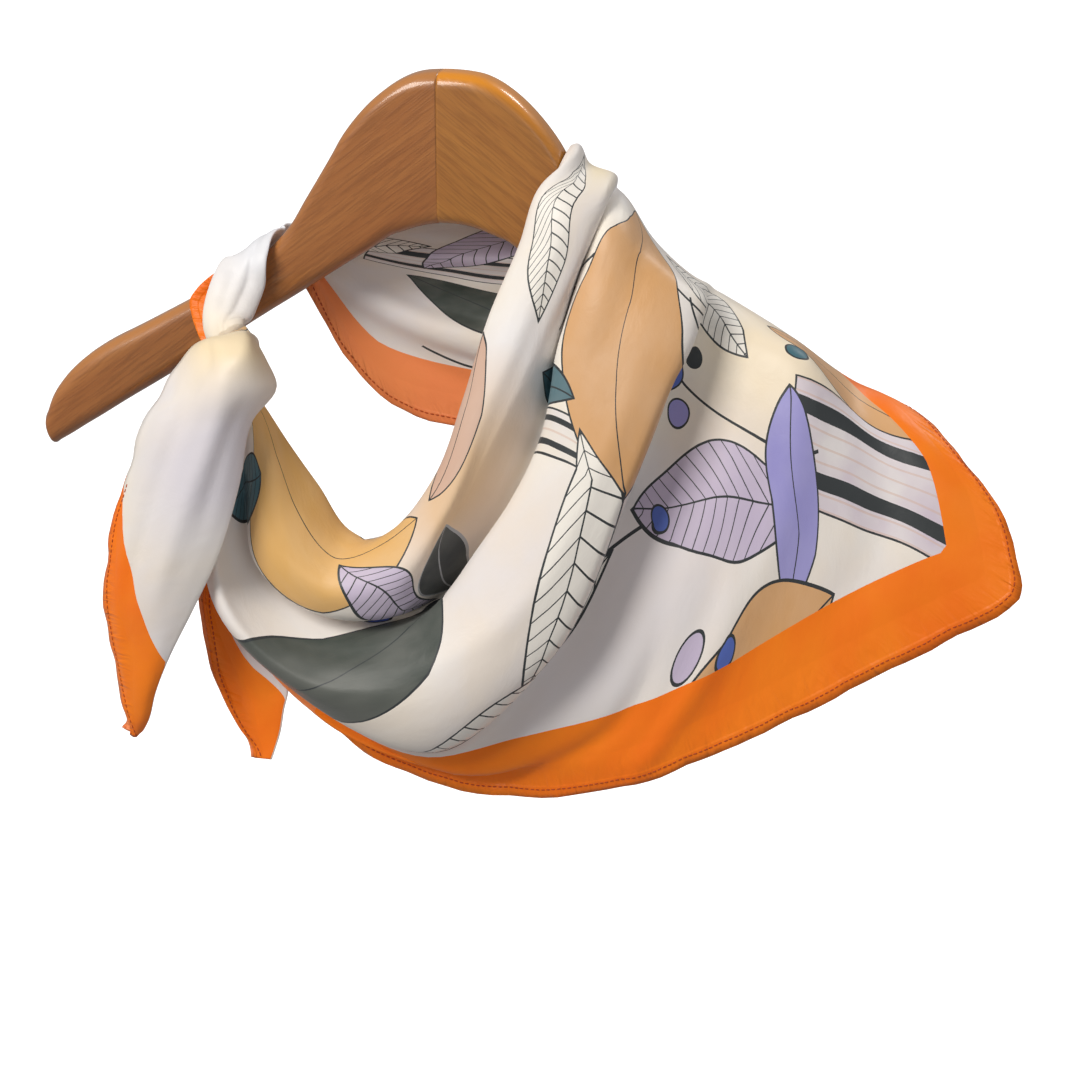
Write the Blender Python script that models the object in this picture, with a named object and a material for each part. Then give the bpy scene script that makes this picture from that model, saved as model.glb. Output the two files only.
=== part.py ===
"""Square satin scarf, folded corner to corner into a triangle and tied on a wooden hanger.

Metres. +Z up, +X to the viewer's right, the front faces -Y. The origin is the top of the
hanger's hump, where the hanger is held. Tables are in millimetres in that same frame.
"""

import math

import bmesh
import bpy
import numpy as np

MM = 0.001
GAP = 0.3  # between pieces that meet

# The cloth: two layers of satin share one wall.
WALL = 1.6
FOLD_BULGE = 0.5  # how far the folded edge is rounded out
HEM_GROOVE = 0.9  # depth of the groove between the two layers at a hem

# The hanger
BOARD = 20.0  # thickness of the wood
ROUND = 7.0  # radius along its edges
CENTRE_X = 3.0  # middle of the hump
SEAM_X = -2.0  # where its two halves are glued
LEAN = 0.035  # how far the arms come forward, per millimetre out from the seam

# Half of the hanger, as sections across it from the middle of the hump to the end of the arm:
# (out from the middle, height) of its top edge, then of its underside
ARM = (
    (0, 0, 0, -70.5), (9, -0.4, 5.5, -70.8), (16, -1.6, 10, -71.5), (22.5, -4.3, 14.5, -72.6),
    (28.5, -8, 19, -74.1), (34, -12.3, 23.5, -75.8), (38, -16, 27, -77), (45.2, -24, 33, -81),
    (51, -32, 39, -85.2), (55.5, -40, 44, -88.5), (60.2, -48, 50, -92.3), (65, -56, 57, -97),
    (69.5, -63.5, 63, -101), (75, -73, 69, -105), (82, -82, 76.5, -110), (92, -91.5, 86, -116.2),
    (107, -102.5, 99, -125), (126.4, -114, 118, -138), (152, -128.5, 142, -154),
    (170, -138.5, 160, -165.5), (181, -146.5, 172, -173.5), (189.5, -155, 181, -179.3),
    (196, -164.5, 188.5, -184.3), (199.3, -173, 194.5, -188),
)
ARM_CUTS = 2  # mesh steps between two sections
END_ROUND = 4.0  # how far the ends of the arms are rounded off

# The front stretch. One row for each fold line, from the neck fold out to the hem, as
# (x, y, z) at thirteen stations: four from the knot down behind the front tail, two under the
# neck, six up the right side (the tenth is at the free corner), and the crest over the arm.
FRONT_FOLDS = {
    "neck": (
        (-81, -55, -138), (-75, -49, -151), (-66, -44, -169), (-53, -40, -190),
        (-38, -37, -211), (-14, -35, -211), (7, -34, -185), (21, -32, -146),
        (33, -27, -106), (45, -21, -74), (53, -15.5, -49), (56, -15, -41), (58, 5, -33.5),
    ),
    "side1": (
        (-82, -57, -138), (-76, -53, -154), (-70, -52, -174), (-60, -52, -199),
        (-40, -54, -219), (-16, -54, -208), (6, -50, -180), (19, -45, -142),
        (30, -38, -103), (42, -30, -72), (50, -20, -46), (58.5, -15, -37.5), (61.5, 2.5, -32),
    ),
    "cowl1": (
        (-83, -59, -139), (-78, -56, -157), (-75, -56, -181), (-67, -61, -209),
        (-42, -66, -233), (-8, -68, -222), (14, -61, -190), (30, -53, -146),
        (44, -45, -105), (55, -36, -73), (63, -25, -49), (65, -15, -43), (66, 2, -40),
    ),
    "lip1": (
        (-85, -59, -141), (-81, -56, -161), (-81, -54, -189), (-79, -57, -222),
        (-45, -60, -246), (-9, -61, -240), (11, -56, -207), (37, -49, -151),
        (54, -41, -116), (66, -33, -81), (74, -23, -58), (75, -14, -52), (76, 3, -48),
    ),
    "valley1": (
        (-87, -57.8, -143), (-85, -54, -165), (-88, -50, -197), (-87, -47, -232),
        (-47, -48, -255), (-3, -46, -248), (26, -37, -221), (51, -31, -163),
        (62, -26, -122), (68, -22, -85), (76, -15, -61), (77, -8, -56), (78, 7, -52),
    ),
    "lip2": (
        (-88, -59, -144), (-87, -57, -167), (-91, -56, -202), (-88, -58, -235),
        (-46, -63, -261), (0, -63, -248), (30, -56, -210), (57, -47, -158),
        (63, -38, -118), (72, -30, -83), (79, -20, -60), (81, -10, -56), (82, 3, -54),
    ),
    "cowl2": (
        (-89, -58, -146), (-90, -58, -170), (-96, -62, -205), (-92, -70, -239),
        (-49, -80, -273), (12, -82, -267), (56, -74, -224), (82, -62, -169),
        (91, -50, -126), (98, -38, -94), (101, -24, -77), (100, -12, -75), (98, 3, -76),
    ),
    "side2": (
        (-90, -58, -147), (-93, -59, -173), (-102, -60, -210), (-98, -64, -242),
        (-56, -71, -282), (9, -75, -303), (66, -70, -251), (96, -59, -176),
        (111, -48, -135), (122, -37, -109), (124, -24, -96), (123, -9, -94), (121, 4, -95),
    ),
    "valley2": (
        (-92, -56, -149), (-97, -53, -177), (-105, -52, -217), (-98, -51, -248),
        (-58, -50, -290), (9, -54, -316), (59, -42, -263), (89, -30, -187),
        (105, -22, -145), (118, -23, -116), (123, -16, -100), (127, -4, -98), (129, 7, -100),
    ),
    "panel1": (
        (-93, -55, -150), (-99, -51, -180), (-103, -49, -226), (-92, -46.5, -259),
        (-51, -47, -300), (13, -52, -323), (84, -50, -282), (124, -42, -212),
        (148, -34, -169), (166, -27, -139), (169, -17, -122), (166, -6, -119), (163, 6, -119),
    ),
    "panel2": (
        (-94, -54, -151), (-99, -50, -182), (-100, -49, -234), (-85, -49, -268),
        (-44, -50, -308), (15, -51, -324), (90, -49, -302), (142, -44, -249),
        (181, -38, -206), (213, -31, -180), (206, -20, -151), (199, -8, -142), (191, 6, -137),
    ),
    "tuck": (
        (-94, -53, -152.5), (-97.5, -47, -182.5), (-95, -44.5, -234), (-80, -43.5, -266),
        (-41, -43, -305), (16, -45, -322), (92, -48.5, -314), (149, -45, -274),
        (201, -41, -232), (246, -37, -201), (238, -26, -168), (222, -13, -151), (204, 5, -142),
    ),
    "hem": (
        (-94, -52, -154), (-96, -45, -184), (-92, -42, -240), (-77, -40.5, -273),
        (-37, -41, -320), (16, -43, -337.5), (95, -47, -326), (155, -46, -296),
        (219, -44, -256), (277, -42, -220), (265, -30, -185), (242, -17, -161), (215, 4, -148),
    ),
}
CORNER = 9  # the station at which the hem turns the free corner
FRONT_STRETCHES = (
    ("cowl_upper", "neck", "valley1"),
    ("cowl_lower", "valley1", "valley2"),
    ("front_panel", "valley2", "hem"),
)

# The same fold lines behind the hanger, at five stations from just behind the crest to where
# they gather into the roll.
BACK_FOLDS = {
    "neck": ((50, 17, -50), (12, 24, -60), (-28, 22, -67), (-55, 18, -71), (-68, 16, -73)),
    "side1": ((49, 19, -52), (14, 26, -66), (-27, 24, -71), (-55, 20, -74), (-68, 18, -75)),
    "cowl1": ((56, 24, -62), (20, 30, -76), (-24, 27, -79), (-55, 22, -78), (-69, 20, -78)),
    "lip1": ((64, 21, -74), (26, 27, -86), (-21, 25, -87), (-54, 20, -83), (-69, 18, -81)),
    "valley1": ((68, 16, -80), (30, 22, -93), (-19, 20, -93), (-53, 17, -86), (-70, 16, -84)),
    "lip2": ((72, 20, -84), (33, 25, -98), (-17, 24, -98), (-53, 20, -90), (-70, 18, -87)),
    "cowl2": ((90, 26, -103), (44, 31, -112), (-10, 28, -108), (-50, 22, -96), (-71, 20, -90)),
    "side2": ((112, 22, -120), (58, 28, -125), (-2, 25, -121), (-47, 20, -105), (-71, 18, -94)),
    "valley2": ((120, 16, -125), (64, 22, -132), (2, 20, -129), (-45, 18, -114), (-72, 16, -97)),
    "panel1": ((148, 19, -142), (84, 26, -149), (14, 25, -146), (-42, 21, -129), (-72, 18, -101)),
    "panel2": ((173, 17, -157), (104, 25, -165), (26, 25, -162), (-38, 22, -148), (-73, 17, -105)),
    "tuck": ((184, 16, -165), (113, 24, -174), (31, 25, -173), (-36, 22, -159), (-73, 16, -108)),
    "hem": ((193, 15, -171), (120, 22, -182), (36, 24, -181), (-34, 22, -168), (-74, 16, -110)),
}
ALONG_CUTS = 4  # mesh steps between two stations
ACROSS_CUTS = (2, 2, 3, 3, 2, 3, 3, 2, 3, 3, 2, 2)  # mesh steps between two fold lines

# The front tail: sections from the tuck over the knot to the tip, from hem to folded edge
TAIL_FRONT = (
    ((-102, -47, -121), (-98, -50, -119), (-92, -52, -117), (-87, -51, -115), (-84, -46, -114)),
    ((-105, -54, -122), (-96, -63, -117), (-88, -66, -115), (-81, -63, -114), (-78, -53, -117)),
    ((-113, -59, -131), (-99, -69, -126), (-86, -74, -122), (-75, -71, -121), (-71, -57, -126)),
    ((-121, -62, -144), (-105, -73, -139), (-89, -79, -134), (-74, -76, -133), (-65, -62, -136)),
    ((-128, -63, -157), (-112, -75, -153), (-96, -80, -151), (-81, -78, -149), (-75, -68, -151)),
    ((-138, -63, -184), (-122, -75, -180), (-105, -81, -179), (-91, -80, -179), (-81, -72, -181)),
    ((-148, -62, -215), (-131, -74, -212), (-115, -80, -211), (-100, -80, -211), (-90, -76, -213)),
    ((-153, -60, -244), (-140, -70, -241), (-126, -76, -241), (-115, -77, -242), (-105, -74, -244)),
    ((-152, -59, -269), (-142, -66, -268), (-133, -70, -269), (-124, -72, -270), (-118, -71, -269)),
    ((-148, -58, -293), (-142, -63, -292), (-137, -66, -293), (-132, -67, -293), (-128, -66, -291)),
    ((-145, -58, -310), (-142, -61, -309), (-139, -62, -309), (-137, -62, -309), (-134, -61, -308)),
    ((-145, -58, -318), (-143, -58, -319), (-142, -58, -319), (-140, -58, -317), (-138, -58, -315)),
)
# The rear tail: sections from under the knot to the tip, from hem to folded edge
TAIL_REAR = (
    ((-100, -46, -152), (-97, -44, -153), (-91, -44, -154)),
    ((-105, -42, -171), (-100, -38, -174), (-91, -38, -174)),
    ((-110, -40, -212), (-102, -36, -215), (-91, -36, -215)),
    ((-111, -40, -246), (-101, -36, -253), (-88, -37, -255)),
    ((-110, -40, -271), (-99, -37, -277), (-81, -38, -279)),
    ((-106, -41, -292), (-94, -38, -298), (-71, -39, -295)),
    ((-101, -42, -304), (-89, -40, -310), (-73, -40, -306)),
    ((-95, -42, -316), (-86, -41, -320), (-75, -41, -318)),
    ((-89, -42, -325), (-83, -42, -327), (-77, -42, -325)),
    ((-87, -43, -331), (-83, -43, -331), (-79, -43, -331)),
)
# The border that shows beside the roll, from hem to the edge under the roll
ROLL_BORDER = (
    ((-105, -12, -96), (-101, -12, -96), (-97, -12, -97)),
    ((-112, -14, -101), (-106, -14, -102), (-99, -14, -103)),
    ((-117, -16, -106), (-111, -16, -107), (-102, -16, -107)),
    ((-120, -17, -111), (-112, -18, -112), (-104, -17, -113)),
    ((-118, -21, -118), (-111, -22, -118), (-103, -21, -118)),
    ((-114, -26, -124), (-109, -26, -123), (-103, -26, -123)),
    ((-111, -29, -128), (-107, -29, -128), (-103, -29, -127)),
)

# The roll over the left arm and the knot below it: centre, half width, half thickness, and
# the direction in which its outer side faces
ROLL = (
    ((-79, 16, -94), 11, 3.6, (0, 1, 0)),
    ((-83, 15, -90), 12, 3.4, (0, 1, 0.2)),
    ((-88, 10, -88.5), 12, 3, (-0.4, 0.7, 0.6)),
    ((-90.5, -3, -86.5), 12, 2.6, (-0.62, 0, 0.78)),
    ((-92, -15, -90), 12, 3, (-0.4, -0.7, 0.6)),
    ((-94.5, -19.5, -99), 12.5, 4.2, (0, -1, 0.1)),
    ((-97, -26, -109), 12.5, 5.2, (0, -1, 0)),
    ((-97, -35, -118), 11, 6, (0, -1, 0)),
    ((-94.5, -39.5, -121.5), 10, 6, (0, -1, 0)),
)
KNOT = (
    ((-93, -42, -123.5), 10, 6.5, (0, -1, 0)),
    ((-90.5, -45.5, -127), 14, 9, (0, -1, 0)),
    ((-88.5, -48, -131), 12, 8, (0, -1, 0)),
    ((-87.5, -49.5, -134), 7, 5, (0, -1, 0)),
)
ROLL_SIDES = 20
ROLL_FOLDS = 3  # soft folds round the roll
ROLL_FOLD_DEPTH = 0.09  # of its half width


def clear_scene():
    for obj in list(bpy.data.objects):
        bpy.data.objects.remove(obj, do_unlink=True)


def material(name, colour, roughness, sheen=0.0):
    made = bpy.data.materials.new(name)
    made.use_nodes = True
    surface = made.node_tree.nodes["Principled BSDF"]
    surface.inputs["Base Color"].default_value = (*colour, 1)
    surface.inputs["Roughness"].default_value = roughness
    surface.inputs["Sheen Weight"].default_value = sheen
    return made


def satin_cream():
    return material("satin_cream", (0.87, 0.80, 0.70), 0.38, 0.3)


def satin_border():
    return material("satin_border", (0.87, 0.16, 0.015), 0.38, 0.3)


def lacquered_wood():
    return material("lacquered_wood", (0.36, 0.15, 0.045), 0.25)


def slopes(points):
    """The direction of a smooth line at each of its points, per unit of its length."""
    steps = np.linalg.norm(np.diff(points, axis=0), axis=1)[:, None]
    rises = np.diff(points, axis=0) / steps
    inner = (rises[:-1] * steps[1:] + rises[1:] * steps[:-1]) / (steps[:-1] + steps[1:])
    first, last = 1.5 * rises[0] - 0.5 * inner[0], 1.5 * rises[-1] - 0.5 * inner[-1]
    return np.vstack([first, inner, last]), steps


def smooth_line(points, cuts):
    """A smooth line through all the points, with so many steps in each interval."""
    points = np.asarray(points, float)
    if len(points) == 2:
        points = np.array([points[0], points.mean(axis=0), points[1]])
        cuts = (cuts[0] // 2, cuts[0] - cuts[0] // 2)
    slope, steps = slopes(points)
    made = []
    for i, cut in enumerate(cuts):
        for t in np.arange(cut) / cut:
            made.append(
                (2 * t**3 - 3 * t**2 + 1) * points[i]
                + (t**3 - 2 * t**2 + t) * steps[i] * slope[i]
                + (3 * t**2 - 2 * t**3) * points[i + 1]
                + (t**3 - t**2) * steps[i] * slope[i + 1]
            )
    made.append(points[-1])
    return np.array(made)


def cornered_line(points, cuts, corner):
    """As smooth_line, but with a sharp turn at one point."""
    before = smooth_line(points[: corner + 1], cuts[:corner])
    after = smooth_line(points[corner:], cuts[corner:])
    return np.vstack([before, after[1:]])


def lattice(rows, along, across, corner=None):
    """A grid of points over a surface given by rows of points: grid[across][along]."""
    lines = [smooth_line(row, along) for row in rows]
    if corner is not None:
        lines[-1] = cornered_line(np.asarray(rows[-1], float), along, corner)
    lines = np.array(lines)
    columns = [smooth_line(lines[:, i], across) for i in range(lines.shape[1])]
    return np.array(columns).transpose(1, 0, 2)


def unit(v):
    return v / np.maximum(np.linalg.norm(v, axis=-1, keepdims=True), 1e-9)


def grid_normals(grid):
    return unit(np.cross(np.gradient(grid, axis=0), np.gradient(grid, axis=1)))


def add_object(name, points, faces, surface, smooth=True):
    """An object from points in millimetres, turned so that its faces point out."""
    mesh = bpy.data.meshes.new(name)
    mesh.from_pydata([tuple(p) for p in np.asarray(points) * MM], [], faces)
    work = bmesh.new()
    work.from_mesh(mesh)
    if work.calc_volume(signed=True) < 0:
        bmesh.ops.reverse_faces(work, faces=work.faces)
    work.to_mesh(mesh)
    work.free()
    for face in mesh.polygons:
        face.use_smooth = smooth
    mesh.materials.append(surface)
    obj = bpy.data.objects.new(name, mesh)
    bpy.context.scene.collection.objects.link(obj)
    return obj


def ring_faces(rings, sides):
    """The faces of a closed body made of rings of points, one after the other."""
    last = (rings - 1) * sides
    faces = [list(range(sides))[::-1], [last + k for k in range(sides)]]
    for i in range(rings - 1):
        for k in range(sides):
            a, b = i * sides + k, i * sides + (k + 1) % sides
            faces.append([a, b, b + sides, a + sides])
    return faces


def sheet(name, grid, surface, rims=(0, 0, 0, 0), normal=None, wall=WALL):
    """A closed wall on a grid of points. rims say how far the middle of each edge stands out:
    at the first row, the last row, the first column and the last column."""
    normal = grid_normals(grid) if normal is None else normal
    rows, columns = grid.shape[:2]
    front, back = grid + normal * wall / 2, grid - normal * wall / 2
    points = np.vstack([front.reshape(-1, 3), back.reshape(-1, 3)])

    def index(row, column, side):
        return side * rows * columns + row * columns + column

    faces = []
    for r in range(rows - 1):
        for c in range(columns - 1):
            for side, turn in ((0, 1), (1, -1)):
                ring = [(r, c), (r, c + 1), (r + 1, c + 1), (r + 1, c)][::turn]
                faces.append([index(a, b, side) for a, b in ring])
    # The ring of edge points, with the direction out of the sheet and how far the rim stands
    ring = (
        [(0, c, grid[0, c] - grid[1, c], rims[0]) for c in range(columns - 1)]
        + [(r, columns - 1, grid[r, -1] - grid[r, -2], rims[3]) for r in range(rows - 1)]
        + [(rows - 1, c, grid[-1, c] - grid[-2, c], rims[1]) for c in range(columns - 1, 0, -1)]
        + [(r, 0, grid[r, 0] - grid[r, 1], rims[2]) for r in range(rows - 1, 0, -1)]
    )
    start = len(points)
    rim = [grid[r, c] + unit(out) * stand for r, c, out, stand in ring]
    points = np.vstack([points, rim])
    for i, (r, c, _, _) in enumerate(ring):
        j = (i + 1) % len(ring)
        r2, c2 = ring[j][:2]
        faces.append([index(r2, c2, 0), index(r, c, 0), start + i, start + j])
        faces.append([start + j, start + i, index(r, c, 1), index(r2, c2, 1)])
    return add_object(name, points, faces, surface)


def bundle(name, table, surface, cuts=3):
    """A closed roll of gathered cloth along a row of sections."""
    centres = np.array([row[0] for row in table], float)
    sizes = np.array([(*row[1:3], *row[3]) for row in table], float)
    path = smooth_line(centres, (cuts,) * (len(table) - 1))
    sizes = smooth_line(sizes, (cuts,) * (len(table) - 1))
    tangent = unit(np.gradient(path, axis=0))
    points, rings = [], len(path)
    for i in range(rings):
        out = unit(sizes[i][2:] - tangent[i] * (sizes[i][2:] @ tangent[i]))
        wide = np.cross(tangent[i], out)
        for k in range(ROLL_SIDES):
            turn = 2 * math.pi * k / ROLL_SIDES
            fold = 1 + ROLL_FOLD_DEPTH * math.cos(ROLL_FOLDS * turn + 0.13 * i)
            points.append(
                path[i]
                + wide * (sizes[i][0] * fold * math.cos(turn))
                + out * (sizes[i][1] * fold * math.sin(turn))
            )
    return add_object(name, points, ring_faces(rings, ROLL_SIDES), surface)


def section_ring(top, under, inset=0.0):
    """One section of the board from its top edge to its underside, with rounded edges."""
    down = unit(under - top)
    length = np.linalg.norm(under - top)
    radius = min(ROUND, length / 2 - 1) - inset / 2
    long, thick = length / 2 - radius - inset, BOARD / 2 - radius - inset
    ring = []
    for corner in range(4):
        for step in range(4):
            angle = math.radians(90 * corner + 30 * step)
            along = (long if corner < 2 else -long) + radius * math.sin(angle)
            y = (thick if corner in (0, 3) else -thick) + radius * math.cos(angle)
            x, z = (top + under) / 2 + down * along
            ring.append((x, y, z))
    return ring


def hanger_half(name, side, surface):
    """One half of the hanger from its glue seam to the end of its arm, which is brought
    forward a little."""
    start = (CENTRE_X - SEAM_X) * -side + GAP / 2
    rows = [(start, -0.15, start, -70.6)] + [row for row in ARM if row[0] > start + 2]
    lines = smooth_line(rows, (ARM_CUTS,) * (len(rows) - 1))
    rings = [section_ring(line[:2], line[2:]) for line in lines]
    end = lines[-1].reshape(2, 2)
    out = unit((end - lines[-2].reshape(2, 2)).sum(axis=0))
    rings.append(section_ring(*(end + out * END_ROUND * 0.7), inset=END_ROUND * 0.3))
    rings.append(section_ring(*(end + out * END_ROUND), inset=END_ROUND))
    points = np.array(rings).reshape(-1, 3)
    points[:, 0] = CENTRE_X + side * points[:, 0]
    points[:, 1] -= np.abs(points[:, 0] - SEAM_X) * LEAN
    return add_object(name, points, ring_faces(len(rings), len(rings[0])), surface)


def stretch(name, grid, normal, rows, columns, surface):
    """One piece of the draped cloth, from a first to a last row and column of its grid. It
    ends half a gap short of each cut edge."""
    (top, bottom), (left, right) = rows, columns
    part = np.s_[top : bottom + 1, left : right + 1]
    across, along = (unit(np.gradient(grid, axis=a))[part] * GAP / 2 for a in (0, 1))
    piece = grid[part].copy()
    at_fold, at_hem = top == 0, bottom == len(grid) - 1
    if not at_fold:
        piece[0] += across[0]
    if not at_hem:
        piece[-1] -= across[-1]
    if left > 0:
        piece[:, 0] += along[:, 0]
    if right < grid.shape[1] - 1:
        piece[:, -1] -= along[:, -1]
    rims = (FOLD_BULGE if at_fold else 0, -HEM_GROOVE if at_hem else 0, 0, 0)
    sheet(name, piece, surface, rims, normal[part])


def drapes(cream):
    """The scarf from the knot over the crest to the roll: one surface, parted at the crest
    and, in front, at the bottom of its two valleys."""
    names = list(FRONT_FOLDS)
    table = [FRONT_FOLDS[n] + BACK_FOLDS[n] for n in names]
    grid = lattice(table, (ALONG_CUTS,) * (len(table[0]) - 1), ACROSS_CUTS, CORNER)
    normal = grid_normals(grid)
    crest, end = ALONG_CUTS * (len(FRONT_FOLDS["neck"]) - 1), grid.shape[1] - 1
    row = {n: sum(ACROSS_CUTS[:i]) for i, n in enumerate(names)}
    for name, first, last in FRONT_STRETCHES:
        stretch(name, grid, normal, (row[first], row[last]), (0, crest), cream)
    stretch("back_drape", grid, normal, (0, row["hem"]), (crest, end), cream)


def tails(border):
    for name, table in (("tail_front", TAIL_FRONT), ("tail_rear", TAIL_REAR)):
        rows = np.array(table, float).transpose(1, 0, 2)
        grid = lattice(rows, (2,) * (len(table) - 1), (3,) * (len(rows) - 1))
        sheet(name, grid, border, (-HEM_GROOVE, FOLD_BULGE, 0, -HEM_GROOVE))


def roll_and_knot(cream, border):
    bundle("shoulder_roll", ROLL, cream)
    bundle("knot", KNOT, cream)
    rows = np.array(ROLL_BORDER, float).transpose(1, 0, 2)
    grid = lattice(rows, (2,) * (len(ROLL_BORDER) - 1), (3, 3))
    sheet("roll_border", grid, border, (-HEM_GROOVE, FOLD_BULGE, 0, 0))


def main():
    clear_scene()
    cream, border, wood = satin_cream(), satin_border(), lacquered_wood()
    hanger_half("hanger_left", -1, wood)
    hanger_half("hanger_right", 1, wood)
    drapes(cream)
    roll_and_knot(cream, border)
    tails(border)


main()
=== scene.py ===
"""Looks for the satin scarf on its wooden hanger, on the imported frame.

The cloth follows the same fold lines as the solids, in finer steps: two thin layers joined at
the neck fold, with soft creases, a printed pattern, an orange border and stitched hems.
Tables are in millimetres, and the flat cut of the scarf is in centimetres.
"""

import math

import bmesh
import bpy
import numpy as np
from mathutils import Matrix, Vector


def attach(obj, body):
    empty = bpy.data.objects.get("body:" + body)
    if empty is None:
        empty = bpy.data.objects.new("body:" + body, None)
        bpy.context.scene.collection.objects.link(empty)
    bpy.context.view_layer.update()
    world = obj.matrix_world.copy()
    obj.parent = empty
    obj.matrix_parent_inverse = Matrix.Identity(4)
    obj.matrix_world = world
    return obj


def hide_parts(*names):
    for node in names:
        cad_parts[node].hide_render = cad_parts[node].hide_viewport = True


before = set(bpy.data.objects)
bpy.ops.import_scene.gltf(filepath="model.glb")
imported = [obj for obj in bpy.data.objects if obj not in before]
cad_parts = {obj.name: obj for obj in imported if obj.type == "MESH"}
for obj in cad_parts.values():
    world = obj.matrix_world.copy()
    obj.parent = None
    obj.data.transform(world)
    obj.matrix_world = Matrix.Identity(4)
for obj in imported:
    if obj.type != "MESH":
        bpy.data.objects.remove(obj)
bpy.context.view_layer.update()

MM = 0.001
ALONG_CUTS = 10  # steps between two stations
ACROSS_TIMES = 3  # finer than the solids by this much
LAYER_GAP = 0.5  # each layer's distance from the middle of the cloth
SATIN = 0.3  # thickness of one layer
HEM_WIDTH = 5.0
BORDER_CM = 3.0
LEG_CM = 49.5  # half of the folded square's long edge, and the height of its corner
CREST_CM = 42.0  # where the folded edge passes over the arm

# The hanger
BOARD = 20.0  # thickness of the wood
ROUND = 7.0  # radius along its edges
CENTRE_X = 3.0  # middle of the hump
SEAM_X = -2.0  # where its two halves are glued
LEAN = 0.035  # how far the arms come forward, per millimetre out from the seam

# Half of the hanger, as sections across it from the middle of the hump to the end of the arm:
# (out from the middle, height) of its top edge, then of its underside
ARM = (
    (0, 0, 0, -70.5), (9, -0.4, 5.5, -70.8), (16, -1.6, 10, -71.5), (22.5, -4.3, 14.5, -72.6),
    (28.5, -8, 19, -74.1), (34, -12.3, 23.5, -75.8), (38, -16, 27, -77), (45.2, -24, 33, -81),
    (51, -32, 39, -85.2), (55.5, -40, 44, -88.5), (60.2, -48, 50, -92.3), (65, -56, 57, -97),
    (69.5, -63.5, 63, -101), (75, -73, 69, -105), (82, -82, 76.5, -110), (92, -91.5, 86, -116.2),
    (107, -102.5, 99, -125), (126.4, -114, 118, -138), (152, -128.5, 142, -154),
    (170, -138.5, 160, -165.5), (181, -146.5, 172, -173.5), (189.5, -155, 181, -179.3),
    (196, -164.5, 188.5, -184.3), (199.3, -173, 194.5, -188),
)
ARM_CUTS = 4  # steps between two sections
END_ROUND = 4.0  # how far the ends of the arms are rounded off

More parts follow.
